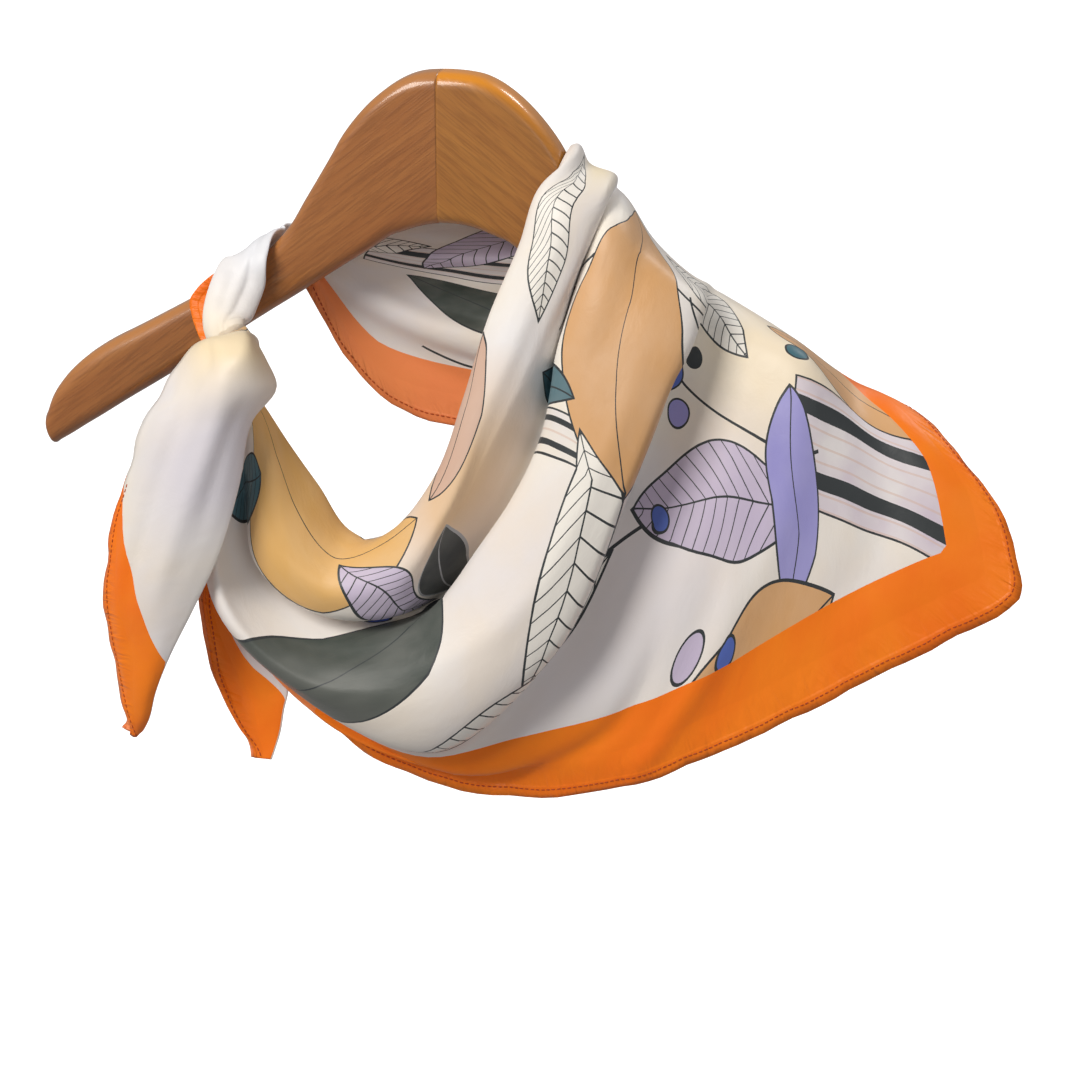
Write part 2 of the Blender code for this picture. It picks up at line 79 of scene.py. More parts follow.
# The front stretch. One row for each fold line, from the neck fold out to the hem, as
# (x, y, z) at thirteen stations: four from the knot down behind the front tail, two under the
# neck, six up the right side (the tenth is at the free corner), and the crest over the arm.
FRONT_FOLDS = {
    "neck": (
        (-81, -55, -138), (-75, -49, -151), (-66, -44, -169), (-53, -40, -190),
        (-38, -37, -211), (-14, -35, -211), (7, -34, -185), (21, -32, -146),
        (33, -27, -106), (45, -21, -74), (53, -15.5, -49), (56, -15, -41), (58, 5, -33.5),
    ),
    "side1": (
        (-82, -57, -138), (-76, -53, -154), (-70, -52, -174), (-60, -52, -199),
        (-40, -54, -219), (-16, -54, -208), (6, -50, -180), (19, -45, -142),
        (30, -38, -103), (42, -30, -72), (50, -20, -46), (58.5, -15, -37.5), (61.5, 2.5, -32),
    ),
    "cowl1": (
        (-83, -59, -139), (-78, -56, -157), (-75, -56, -181), (-67, -61, -209),
        (-42, -66, -233), (-8, -68, -222), (14, -61, -190), (30, -53, -146),
        (44, -45, -105), (55, -36, -73), (63, -25, -49), (65, -15, -43), (66, 2, -40),
    ),
    "lip1": (
        (-85, -59, -141), (-81, -56, -161), (-81, -54, -189), (-79, -57, -222),
        (-45, -60, -246), (-9, -61, -240), (11, -56, -207), (37, -49, -151),
        (54, -41, -116), (67, -33, -80), (76, -23, -56), (78, -14, -50), (79, 3, -46),
    ),
    "valley1": (
        (-87, -57.8, -143), (-85, -54, -165), (-86, -48, -195), (-83, -44, -226),
        (-46, -44, -250), (-3, -45, -247), (26, -37, -221), (51, -31, -163),
        (62, -26, -122), (68, -22, -85), (76, -15, -61), (77, -8, -56), (78, 7, -52),
    ),
    "lip2": (
        (-88, -59, -144), (-87, -57, -167), (-91, -56, -202), (-88, -58, -235),
        (-46, -63, -261), (0, -63, -248), (30, -56, -210), (57, -47, -158),
        (63, -38, -118), (72, -30, -83), (79, -20, -60), (81, -10, -56), (82, 3, -54),
    ),
    "cowl2": (
        (-89, -58, -146), (-90, -58, -170), (-96, -62, -205), (-92, -70, -239),
        (-49, -80, -273), (12, -82, -267), (56, -74, -224), (82, -62, -169),
        (91, -50, -126), (98, -38, -94), (101, -24, -77), (100, -12, -75), (98, 3, -76),
    ),
    "side2": (
        (-90, -58, -147), (-93, -59, -173), (-102, -60, -210), (-98, -64, -242),
        (-56, -71, -282), (9, -75, -303), (66, -70, -251), (96, -59, -176),
        (111, -48, -135), (122, -37, -109), (124, -24, -96), (123, -9, -94), (121, 4, -95),
    ),
    "valley2": (
        (-92, -56, -149), (-97, -53, -177), (-105, -52, -217), (-98, -51, -248),
        (-58, -50, -290), (9, -54, -316), (59, -42, -263), (89, -30, -187),
        (105, -22, -145), (118, -23, -116), (123, -16, -100), (127, -4, -98), (129, 7, -100),
    ),
    "panel1": (
        (-93, -55, -150), (-99, -51, -180), (-103, -49, -226), (-92, -46.5, -259),
        (-51, -47, -300), (13, -52, -323), (84, -50, -282), (124, -42, -212),
        (148, -34, -169), (166, -27, -139), (169, -17, -122), (166, -6, -119), (163, 6, -119),
    ),
    "panel2": (
        (-94, -54, -151), (-99, -50, -182), (-100, -49, -234), (-85, -49, -268),
        (-44, -50, -308), (15, -51, -324), (90, -49, -302), (142, -44, -249),
        (181, -38, -206), (213, -31, -180), (206, -20, -151), (199, -8, -142), (191, 6, -137),
    ),
    "tuck": (
        (-94, -53, -152.5), (-97.5, -47, -182.5), (-95, -44.5, -234), (-80, -43.5, -266),
        (-41, -43, -305), (16, -45, -322), (92, -48.5, -314), (149, -45, -274),
        (201, -41, -232), (246, -37, -201), (238, -26, -168), (222, -13, -151), (204, 5, -142),
    ),
    "hem": (
        (-94, -52, -154), (-96, -45, -184), (-92, -42, -240), (-77, -40.5, -273),
        (-37, -41, -320), (16, -43, -337.5), (95, -47, -326), (155, -46, -296),
        (219, -44, -256), (277, -42, -220), (265, -30, -185), (242, -17, -161), (215, 4, -148),
    ),
}
CORNER = 9  # the station at which the hem turns the free corner
# The same fold lines behind the hanger, at five stations from just behind the crest to where
# they gather into the roll.
BACK_FOLDS = {
    "neck": ((50, 17, -50), (12, 24, -60), (-28, 22, -67), (-55, 18, -71), (-68, 16, -73)),
    "side1": ((49, 19, -52), (14, 26, -66), (-27, 24, -71), (-55, 20, -74), (-68, 18, -75)),
    "cowl1": ((56, 24, -62), (20, 30, -76), (-24, 27, -79), (-55, 22, -78), (-69, 20, -78)),
    "lip1": ((67, 21, -72), (26, 27, -86), (-21, 25, -87), (-54, 20, -83), (-69, 18, -81)),
    "valley1": ((68, 16, -80), (30, 22, -93), (-19, 20, -93), (-53, 17, -86), (-70, 16, -84)),
    "lip2": ((72, 20, -84), (33, 25, -98), (-17, 24, -98), (-53, 20, -90), (-70, 18, -87)),
    "cowl2": ((90, 26, -103), (44, 31, -112), (-10, 28, -108), (-50, 22, -96), (-71, 20, -90)),
    "side2": ((112, 22, -120), (58, 28, -125), (-2, 25, -121), (-47, 20, -105), (-71, 18, -94)),
    "valley2": ((120, 16, -125), (64, 22, -132), (2, 20, -129), (-45, 18, -114), (-72, 16, -97)),
    "panel1": ((148, 19, -142), (84, 26, -149), (14, 25, -146), (-42, 21, -129), (-72, 18, -101)),
    "panel2": ((173, 17, -157), (104, 25, -165), (26, 25, -162), (-38, 22, -148), (-73, 17, -105)),
    "tuck": ((184, 16, -165), (113, 24, -174), (31, 25, -173), (-36, 22, -159), (-73, 16, -108)),
    "hem": ((193, 15, -171), (120, 22, -182), (36, 24, -181), (-34, 22, -168), (-74, 16, -110)),
}
ACROSS_CUTS = (2, 2, 3, 3, 2, 3, 3, 2, 3, 3, 2, 2)

# The front tail: sections from the tuck over the knot to the tip, from hem to folded edge
TAIL_FRONT = (
    ((-102, -47, -121), (-98, -50, -119), (-92, -52, -117), (-87, -51, -115), (-84, -46, -114)),
    ((-105, -54, -122), (-96, -63, -117), (-88, -66, -115), (-81, -63, -114), (-78, -53, -117)),
    ((-113, -59, -131), (-99, -69, -126), (-86, -74, -122), (-75, -71, -121), (-71, -57, -126)),
    ((-121, -62, -144), (-105, -73, -139), (-89, -79, -134), (-74, -76, -133), (-65, -62, -136)),
    ((-128, -63, -157), (-112, -75, -153), (-96, -80, -151), (-81, -78, -149), (-75, -68, -151)),
    ((-138, -63, -184), (-122, -75, -180), (-105, -81, -179), (-91, -80, -179), (-81, -72, -181)),
    ((-148, -62, -215), (-131, -74, -212), (-115, -80, -211), (-100, -80, -211), (-90, -76, -213)),
    ((-153, -60, -244), (-140, -70, -241), (-126, -76, -241), (-115, -77, -242), (-105, -74, -244)),
    ((-152, -59, -269), (-142, -66, -268), (-133, -70, -269), (-124, -72, -270), (-118, -71, -269)),
    ((-148, -58, -293), (-142, -63, -292), (-137, -66, -293), (-132, -67, -293), (-128, -66, -291)),
    ((-145, -58, -310), (-142, -61, -309), (-139, -62, -309), (-137, -62, -309), (-134, -61, -308)),
    ((-145, -58, -318), (-143, -58, -319), (-142, -58, -319), (-140, -58, -317), (-138, -58, -315)),
)
# The rear tail: sections from under the knot to the tip, from hem to folded edge
TAIL_REAR = (
    ((-100, -46, -152), (-97, -44, -153), (-91, -44, -154)),
    ((-105, -42, -171), (-100, -38, -174), (-91, -38, -174)),
    ((-110, -40, -212), (-102, -36, -215), (-91, -36, -215)),
    ((-111, -40, -246), (-101, -36, -253), (-88, -37, -255)),
    ((-110, -40, -271), (-99, -37, -277), (-81, -38, -279)),
    ((-106, -41, -292), (-94, -38, -298), (-71, -39, -295)),
    ((-101, -42, -304), (-89, -40, -310), (-73, -40, -306)),
    ((-95, -42, -316), (-86, -41, -320), (-75, -41, -318)),
    ((-89, -42, -325), (-83, -42, -327), (-77, -42, -325)),
    ((-87, -43, -331), (-83, -43, -331), (-79, -43, -331)),
)
# The border that shows beside the roll, from hem to the edge under the roll
ROLL_BORDER = (
    ((-105, -12, -96), (-101, -12, -96), (-97, -12, -97)),
    ((-112, -14, -101), (-106, -14, -102), (-99, -14, -103)),
    ((-117, -16, -106), (-111, -16, -107), (-102, -16, -107)),
    ((-120, -17, -111), (-112, -18, -112), (-104, -17, -113)),
    ((-118, -21, -118), (-111, -22, -118), (-103, -21, -118)),
    ((-114, -26, -124), (-109, -26, -123), (-103, -26, -123)),
    ((-111, -29, -128), (-107, -29, -128), (-103, -29, -127)),
)

# The roll over the left arm and the knot below it: centre, half width, half thickness, and
# the direction in which its outer side faces
ROLL = (
    ((-79, 16, -94), 11, 3.6, (0, 1, 0)),
    ((-83, 15, -90), 12, 3.4, (0, 1, 0.2)),
    ((-88, 10, -88.5), 12, 3, (-0.4, 0.7, 0.6)),
    ((-90.5, -3, -86.5), 12, 2.6, (-0.62, 0, 0.78)),
    ((-92, -15, -90), 12, 3, (-0.4, -0.7, 0.6)),
    ((-94.5, -19.5, -99), 12.5, 4.2, (0, -1, 0.1)),
    ((-97, -26, -109), 12.5, 5.2, (0, -1, 0)),
    ((-97, -35, -118), 11, 6, (0, -1, 0)),
    ((-94.5, -39.5, -121.5), 10, 6, (0, -1, 0)),
)
KNOT = (
    ((-93, -42, -123.5), 10, 6.5, (0, -1, 0)),
    ((-90.5, -45.5, -127), 14, 9, (0, -1, 0)),
    ((-88.5, -48, -131), 12, 8, (0, -1, 0)),
    ((-87.5, -49.5, -134), 7, 5, (0, -1, 0)),
)

# Creases: whether it has an edge, its line as (fold line, station), its width and its height
CREASES = (
    # the edges of the two cowls, with the valleys beside them
    (True, ((3, 12.3), (3, 11), (3, 9), (3, 7), (3, 5), (3, 3.4), (3, 1.6)), 3.5, 1.5),
    (False, ((3.9, 10.6), (4, 9), (4, 7), (4, 5), (4, 3.4), (4, 2)), 4.5, -1.2),
    (True, ((5, 10), (5, 8), (5, 6), (5, 4.6), (5, 3.4)), 4, 1.6),
    (True, ((7, 11.2), (7, 10.2), (7, 9), (7, 7.5), (7, 6), (6.9, 4.6)), 4, 1.5),
    (True, ((7, 12.4), (7, 11.4), (7, 10.4), (7, 9.4)), 3.5, 1.4),
    (False, ((7.5, 11.9), (7.5, 10.6), (7.45, 9), (7.4, 7.5), (7.4, 6), (7.35, 4.8)), 3.6, -3.2),
    # soft folds of the main panel, fanning out from the crest and the valley
    (False, ((8.7, 11.3), (9.0, 10), (9.3, 8.5), (9.9, 7.2), (10.8, 6.4)), 9, 2.8),
    (False, ((9.5, 11.2), (9.8, 10), (10.2, 8.6), (10.9, 7.6)), 10, -2.4),
    (False, ((10.3, 11.5), (10.6, 10.2), (11.0, 9.2)), 9, 1.4),
    (False, ((8.9, 6.8), (9.8, 6.0), (10.9, 5.4), (11.8, 5.1)), 5, -2.2),
    (False, ((9.1, 7.8), (10.0, 6.9), (11.0, 6.3), (11.8, 6.0)), 5, 1.9),
    (False, ((8.4, 5.9), (9.2, 5.2), (10.4, 4.8)), 6, 1.6),
    # long shallow creases on the cowls
    (False, ((1.4, 11.4), (1.6, 9.5), (1.3, 7.6), (1.0, 6.2)), 3.5, -0.9),
    (False, ((2.2, 10.4), (2.3, 8.8), (2.1, 7.0)), 3, 0.7),
    (False, ((1.6, 4.2), (1.9, 3.2), (2.0, 2.0), (2.0, 0.9)), 4, -1.1),
    (False, ((0.9, 3.6), (1.1, 2.6), (1.2, 1.4)), 4, 0.8),
    (False, ((5.7, 10.9), (5.8, 9.4), (5.6, 7.8)), 6, -1.2),
    (False, ((6.3, 8.8), (6.2, 7.2), (6.0, 5.8), (5.9, 4.4)), 6, 1.2),
    (False, ((5.9, 5.0), (5.8, 3.8), (5.7, 2.6), (5.5, 1.4)), 5, -1.3),
    (False, ((6.5, 4.6), (6.4, 3.4), (6.2, 2.2)), 5, 0.9),
    # behind, from the crest to where the cloth is gathered
    (False, ((2.4, 12.4), (2.6, 14), (2.5, 15.8)), 5, -1.6),
    (False, ((5.4, 12.4), (5.6, 14), (5.4, 16.0)), 6, -1.8),
    (False, ((7.4, 12.3), (7.3, 13.6), (7.0, 15.4), (6.6, 16.4)), 5, 1.6),
    (False, ((9.3, 12.4), (8.9, 13.8), (8.3, 15.4), (7.6, 16.5)), 7, -2.2),
    (False, ((10.7, 12.6), (10.2, 14), (9.6, 15.5), (9.0, 16.4)), 6, 1.8),
)
TAIL_CREASES = {
    "tail_front": (
        (False, ((2.6, 1.6), (2.4, 3.4), (2.3, 5.6), (2.2, 7.6)), 5, 1.6),
        (False, ((1.4, 1.8), (1.3, 3.6), (1.2, 5.6), (1.1, 7.4)), 5, -1.7),
        (False, ((3.3, 2.4), (3.1, 4.0), (3.0, 6.0)), 4, -1.3),
        (True, ((3.5, 0.5), (3.0, 1.6), (2.5, 2.6)), 2.6, 1.7),
        (False, ((0.8, 0.7), (1.3, 1.6), (1.7, 2.6)), 3.2, -1.2),
        (False, ((0.7, 5.4), (0.8, 7.6), (0.9, 9.4)), 4, 0.8),
    ),
    "tail_rear": (
        (False, ((0.9, 1.0), (0.9, 3.0), (1.0, 5.0), (1.1, 7.0)), 4, -1.3),
        (False, ((1.5, 2.0), (1.5, 4.0), (1.6, 6.0)), 3.5, 0.9),
    ),
}
# Where the neck edge is drawn down to a point: station, how far, and over what distance
NECK_POINT = (4.45, 7.5, 11.0)
# The waves along a hem: length, height and start
HEM_WAVES = ((47.0, 0.55, 0.3), (29.0, 0.40, 1.9), (17.5, 0.30, 4.1))
CORNER_ROUND = (0.2, 1.3, 3.0, 1.3, 0.2)
# Long folds of the roll and the knot: place round it, width, depth and drift, in degrees
ROLL_CREASES = ((60, 16, -0.12, 25), (125, 11, -0.20, -15), (92, 20, 0.06, 5), (200, 20, -0.12, 30),
                (320, 18, -0.12, -20))
KNOT_CREASES = ((50, 16, -0.16, 30), (120, 14, -0.14, 20), (230, 20, -0.1, 0))
# How much of each tail's width the border takes, at heights below the hump
FRONT_TAIL_BORDER = ((0, 0.0005), (188, 0.0005), (209, 0.15), (226, 0.30), (244, 0.48), (259, 0.68),
                     (274, 1.0), (400, 1.0))
REAR_TAIL_BORDER = ((0, 0.3), (250, 0.3), (268, 0.52), (290, 0.85), (298, 1.0), (400, 1.0))
# How far the layer behind stands out past the hem, at the same heights
FRONT_TAIL_UNDER = ((0, 0.0), (255, 0.3), (269, 0.8), (293, 3.0), (310, 5.2), (400, 5.2))
REAR_TAIL_UNDER = ((0, 0.5), (230, 1.0), (246, 2.5), (271, 2.5), (292, 1.0), (304, 0.3), (318, 0.6),
                   (325, 2.0), (400, 2.0))
STITCH = (1.9, 0.34, 2.7)  # length, radius and spacing of the hem stitches
DRAPE_STITCH_INSET = 4.2  # how far the stitches lie in from the hem
TAIL_STITCH_INSET = 3.6
# The stage, in metres, and the camera, in metres and degrees
FLOOR_Z = -1.4
FLOOR_SIZE = 24
DOME_RADIUS = 16
CAMERA_PLACE = (0.37559, -1.43489, 0.31228)
CAMERA_TURN, CAMERA_RISE = 13, 20


# ---------------------------------------------------------------- surfaces

def unit(v):
    return v / np.maximum(np.linalg.norm(v, axis=-1, keepdims=True), 1e-9)


def slopes(points):
    """The direction of a smooth line at each of its points, per unit of its length."""
    steps = np.linalg.norm(np.diff(points, axis=0), axis=1)[:, None]
    rises = np.diff(points, axis=0) / steps
    inner = (rises[:-1] * steps[1:] + rises[1:] * steps[:-1]) / (steps[:-1] + steps[1:])
    first, last = 1.5 * rises[0] - 0.5 * inner[0], 1.5 * rises[-1] - 0.5 * inner[-1]
    return np.vstack([first, inner, last]), steps


def smooth_line(points, cuts):
    """A smooth line through all the points, with so many steps in each interval."""
    points = np.asarray(points, float)
    slope, steps = slopes(points)
    made = []
    for i, cut in enumerate(cuts):
        for t in np.arange(cut) / cut:
            made.append(
                (2 * t**3 - 3 * t**2 + 1) * points[i]
                + (t**3 - 2 * t**2 + t) * steps[i] * slope[i]
                + (3 * t**2 - 2 * t**3) * points[i + 1]
                + (t**3 - t**2) * steps[i] * slope[i + 1]
            )
    made.append(points[-1])
    return np.array(made)


def lattice(rows, along, across, corner=None):
    """A grid of points over a surface given by rows of points: grid[across][along]."""
    lines = [smooth_line(row, along) for row in rows]
    if corner is not None:
        last = np.asarray(rows[-1], float)
        before = smooth_line(last[: corner + 1], along[:corner])
        lines[-1] = np.vstack([before, smooth_line(last[corner:], along[corner:])[1:]])
    lines = np.array(lines)
    columns = [smooth_line(lines[:, i], across) for i in range(lines.shape[1])]
    return np.array(columns).transpose(1, 0, 2)


def grid_normals(grid):
    return unit(np.cross(np.gradient(grid, axis=0), np.gradient(grid, axis=1)))


def lengths_along(grid, axis):
    """The distance walked over the surface along one axis of the grid, in millimetres."""
    steps = np.linalg.norm(np.diff(grid, axis=axis), axis=2)
    return np.insert(np.cumsum(steps, axis=axis), 0, 0, axis=axis)


def distance_to(points, line):
    """How far each point is from a line through the given points, and how far along it."""
    line = smooth_line(line, (6,) * (len(line) - 1))
    at = np.linspace(0, 1, len(line))
    best, where = np.full(points.shape[:-1], 1e9), np.zeros(points.shape[:-1])
    for i in range(len(line) - 1):
        edge = line[i + 1] - line[i]
        t = np.clip(((points - line[i]) @ edge) / (edge @ edge), 0, 1)
        far = np.linalg.norm(points - line[i] - t[..., None] * edge, axis=-1)
        closer = far < best
        best = np.where(closer, far, best)
        where = np.where(closer, at[i] + t * (at[1] - at[0]), where)
    return best, where


def on_grid(grid, places, row_starts, along):
    """Points of the grid from pairs of (fold line, station), which may lie between two."""
    points = []
    for line, station in places:
        row = np.interp(line, range(len(row_starts)), row_starts)
        column = station * along
        r, c = min(int(row), len(grid) - 2), min(int(column), grid.shape[1] - 2)
        a, b = row - r, column - c
        points.append(
            grid[r, c] * (1 - a) * (1 - b) + grid[r, c + 1] * (1 - a) * b
            + grid[r + 1, c] * a * (1 - b) + grid[r + 1, c + 1] * a * b
        )
    return np.array(points)


def creased(grid, normal, creases, row_starts, along):
    """The grid with ridges and troughs, each fading out at its two ends. The sharp ones have
    an edge along their line, and the others are round."""
    moved = grid.copy()
    for sharp, places, width, height in creases:
        far, where = distance_to(grid, on_grid(grid, places, row_starts, along))
        fade = np.clip(np.sin(np.pi * np.clip(where, 0.02, 0.98)) * 1.6, 0, 1)
        profile = np.exp(-(np.sqrt(far**2 + 1) - 1) / width) if sharp else np.exp(
            -((far / width) ** 2))
        moved += normal * (height * fade * profile)[..., None]
    return moved


def mesh_object(name, points, faces, surface, values=None, smooth=True):
    mesh = bpy.data.meshes.new(name)
    mesh.from_pydata([tuple(p) for p in np.asarray(points) * MM], [], faces)
    mesh.polygons.foreach_set("use_smooth", [smooth] * len(mesh.polygons))
    corner = np.empty(len(mesh.loops), np.int32)
    mesh.loops.foreach_get("vertex_index", corner)
    for key, value in (values or {}).items():
        value = np.asarray(value, np.float32)
        if value.ndim == 2:
            mesh.uv_layers.new(name=key).data.foreach_set("uv", value[corner].ravel())
        else:
            mesh.attributes.new(key, "FLOAT", "POINT").data.foreach_set("value", value)
    mesh.materials.append(surface)
    obj = bpy.data.objects.new(name, mesh)
    bpy.context.scene.collection.objects.link(obj)
    return obj


def thicken(obj, thickness):
    solid = obj.modifiers.new("thickness", "SOLIDIFY")
    solid.thickness = thickness * MM
    solid.offset = 0
    bpy.context.view_layer.update()
    graph = bpy.context.evaluated_depsgraph_get()
    obj.data = bpy.data.meshes.new_from_object(obj.evaluated_get(graph))
    obj.modifiers.clear()


def drawn_neck(grid, along):
    """The grid with the neck edge pulled down along the cloth to a point."""
    station, depth, reach = NECK_POINT
    column = int(station * along)
    point = grid[0, column]
    down = unit(grid[6, column] - point)
    far = np.linalg.norm(grid - point, axis=2)
    return grid + down * (depth * np.exp(-far / reach))[..., None]


def waved_hem(grid, normal, depth=14.0):
    """The grid with its last row and the cloth beside it a little uneven."""
    walked = lengths_along(grid, 1)[-1]
    down = lengths_along(grid, 0)
    near = np.clip(1 - (down[-1] - down) / depth, 0, 1)[..., None] ** 2
    wave = sum(h * np.sin(math.tau * walked / l + s) for l, h, s in HEM_WAVES)
    other = sum(h * np.sin(math.tau * walked / l + 2 * s) for l, h, s in HEM_WAVES)
    out = unit(grid[-1] - grid[-3])
    return grid + near * (normal * wave[None, :, None] + 0.55 * out * other[None, :, None])


def double_cloth(name, grid, normal, surface, cut, border, shift=None, fold_first=True):
    """Two layers of cloth on a grid, joined round the fold at its first or last row. cut is
    the flat place of each point, border its distance from the hem, and shift moves the hem of
    the layer behind along the surface."""
    if not fold_first:
        grid, normal, cut, border = grid[::-1], normal[::-1], cut[::-1], border[::-1]
        shift = None if shift is None else shift[::-1]
    front = grid + normal * LAYER_GAP
    back = grid - normal * LAYER_GAP
    if shift is not None:
        back = back + shift
    out = unit(grid[0] - grid[1])
    turn = [grid[0] + out * LAYER_GAP * 0.7 + normal[0] * LAYER_GAP * k for k in (0.7, -0.7)]
    turn.insert(1, grid[0] + out * LAYER_GAP)
    rows = list(front[::-1]) + turn + list(back)
    flat = list(cut[::-1]) + [cut[0]] * 3 + list(cut)
    edge = list(border[::-1]) + [border[0]] * 3 + list(border)
    n, columns = len(rows), grid.shape[1]
    under = np.repeat((np.arange(n) > n / 2).astype(float), columns)
    faces = [
        (r * columns + c, r * columns + c + 1, (r + 1) * columns + c + 1, (r + 1) * columns + c)
        for r in range(n - 1)
        for c in range(columns - 1)
    ]
    obj = mesh_object(
        name, np.array(rows).reshape(-1, 3), faces, surface,
        {"cut": np.array(flat).reshape(-1, 2), "hem": np.array(edge).ravel(), "under": under},
    )
    thicken(obj, SATIN)
    return obj


def stitches(name, line, normal, surface, skip=0.0):
    """A row of short stitches along a line on the cloth."""
    length, radius, spacing = STITCH
    walked = np.insert(np.cumsum(np.linalg.norm(np.diff(line, axis=0), axis=1)), 0, 0)
    points, faces = [], []
    rng = np.random.default_rng(4)

    def here(rows, distance):
        return np.array([np.interp(distance, walked, rows[:, k]) for k in range(3)])

    for start in np.arange(spacing + skip, walked[-1] - spacing, spacing):
        at = start + rng.uniform(-0.2, 0.2)
        a, b = here(line, at), here(line, at + length)
        up = unit(here(normal, at))
        side = np.cross(unit(b - a), up)
        base = len(points)
        for t, wide in ((0, 0.35), (0.15, 0.9), (0.5, 1), (0.85, 0.9), (1, 0.35)):
            for k in range(6):
                angle = math.tau * k / 6
                offset = side * math.cos(angle) + up * math.sin(angle) * 0.7
                points.append(a + (b - a) * t + offset * radius * wide)
        for ring in range(4):
            for k in range(6):
                i, j = base + ring * 6 + k, base + ring * 6 + (k + 1) % 6
                faces.append((i, j, j + 6, i + 6))
        faces.append([base + k for k in range(6)][::-1])
        faces.append([base + 24 + k for k in range(6)])
    return mesh_object(name, points, faces, surface)


# ---------------------------------------------------------------- materials

class Shader:
    """A short way to write a node tree."""

    def __init__(self, name):
        self.material = bpy.data.materials.new(name)
        self.material.use_nodes = True
        self.tree = self.material.node_tree
        self.surface = self.tree.nodes["Principled BSDF"]

    def add(self, kind, values=(), **settings):
        node = self.tree.nodes.new(kind)
        for key, value in settings.items():
            setattr(node, key, value)
        for key, value in dict(values).items():
            self.put(node.inputs[key], value)
        return node

    def put(self, socket, value):
        if isinstance(value, bpy.types.NodeSocket):
            self.tree.links.new(value, socket)
        else:
            socket.default_value = value

    def surfaced(self, values):
        """The material, with these inputs of its surface set or linked."""
        for key, value in values.items():
            self.put(self.surface.inputs[key], value)
        return self.material

    def math(self, operation, *values):
        return self.add("ShaderNodeMath", enumerate(values), operation=operation).outputs[0]

    def mix(self, share, a, b):
        node = self.add("ShaderNodeMix", data_type="RGBA")
        for socket, value in zip((node.inputs[0], node.inputs[6], node.inputs[7]), (share, a, b)):
            if not isinstance(value, bpy.types.NodeSocket) and isinstance(value, tuple):
                value = (*value, 1)
            self.put(socket, value)
        return node.outputs[2]

    def between(self, value, low, high):
        """0 below low, 1 above high, and even between them."""
        node = self.add(
            "ShaderNodeMapRange", {"Value": value, "From Min": low, "From Max": high}
        )
        return node.outputs[0]

    def noise(self, vector, scale, detail=2.0, rough=0.5, distortion=0.0):
        node = self.add(
            "ShaderNodeTexNoise",
            {"Vector": vector, "Scale": scale, "Detail": detail, "Roughness": rough,
             "Distortion": distortion},
        )
        return node.outputs[0]

    def bump(self, height, strength, distance, normal=None):
        values = {"Height": height, "Strength": strength, "Distance": distance}
        if normal is not None:
            values["Normal"] = normal
        return self.add("ShaderNodeBump", values).outputs[0]


INK = (0.040, 0.046, 0.050)
CREAM = (0.90, 0.86, 0.80)
PALE = (0.82, 0.775, 0.775)
TAN = (0.70, 0.385, 0.165)
GOLD = (0.80, 0.47, 0.16)
SAND = (0.80, 0.62, 0.40)
GREEN = (0.042, 0.056, 0.048)
OLIVE = (0.19, 0.175, 0.10)
TEAL = (0.055, 0.15, 0.19)
BLUE = (0.10, 0.16, 0.52)
LAVENDER = (0.58, 0.50, 0.66)
LILAC = (0.34, 0.32, 0.68)
ROSE = (0.68, 0.45, 0.34)

# Leaves of the printed pattern on the flat cut, in centimetres: place, angle, half length,
# half width, fill, and spacing of their veins
LEAVES = (
    (50.9, 19.6, 14, 8.2, 4.6, TAN, 0),
    (71.6, 3.4, -10, 8.8, 5.4, GOLD, 0),
    (70.6, 16.9, 24, 6.8, 3.0, GREEN, 0),
    # The near-black leaf in the first valley is partly print and partly painted shade that deepens
    # the valley
    (62.9, 10.9, 62, 3.4, 1.5, INK, 0),
    (56.2, 32.0, -62, 6.2, 2.3, LAVENDER, 0.9),
    (53.0, 36.6, 28, 4.6, 1.8, LILAC, 0),
    (60.9, 21.4, 36, 5.6, 1.5, CREAM, 0.9),
    (65.6, 25.6, -14, 5.4, 1.5, CREAM, 0.8),
    (47.4, 6.2, 24, 5.0, 1.6, CREAM, 0.6),
    (57.3, 4.0, 8, 4.4, 1.8, ROSE, 0),
    (54.4, 13.6, 80, 3.6, 1.1, TEAL, 0),
    (46.0, 27.0, 66, 5.2, 1.7, CREAM, 0.7),
    (44.9, 38.2, 84, 5.4, 2.3, TAN, 0),
    (58.6, 38.0, 140, 4.6, 2.0, TAN, 0),
    (66.3, 9.2, 100, 4.4, 1.4, LAVENDER, 0.7),
    (76.5, 9.0, 60, 3.8, 1.6, TEAL, 0.7),
    (36.0, 10.5, 150, 6.4, 2.4, LAVENDER, 0.8),
    (31.0, 19.0, 60, 5.2, 1.9, GREEN, 0),
    (26.5, 8.5, 20, 5.4, 1.7, CREAM, 0.6),
    (37.5, 25.5, 110, 6.4, 2.2, TAN, 0),
)
# Washes of colour on the ground: place, reach, share and tint
WASHES = (
    (80.5, 3.5, 5.5, 0.75, (0.93, 0.74, 0.44)), (74.5, -14.0, 5.0, 0.7, (0.93, 0.76, 0.50)),
    (47.5, 33.5, 7.0, 0.6, (0.93, 0.76, 0.50)), (42.5, 8.0, 3.4, 0.85, (0.93, 0.80, 0.56)),
    (54.0, 7.5, 6.0, 0.6, (0.90, 0.88, 0.90)), (62.0, 29.0, 8.0, 0.6, (0.80, 0.76, 0.80)),
    # The grey lavender at (87.5, 3.0) on the tails is painted shade; the bluish white at (65.0,
    # -12.5) on the roll is partly its pale cloth and partly a painted highlight
    (87.5, 3.0, 5.5, 0.9, (0.74, 0.71, 0.78)), (65.0, -12.5, 5.0, 0.8, (0.82, 0.85, 0.92)),
    # The dark tan at (60.0, 6.5), under the first cowl's lip, is partly tan print and partly
    # painted shade
    (54.5, 23.0, 4.0, 0.5, (0.93, 0.78, 0.56)), (60.0, 6.5, 6.5, 0.85, (0.80, 0.53, 0.29)),
)
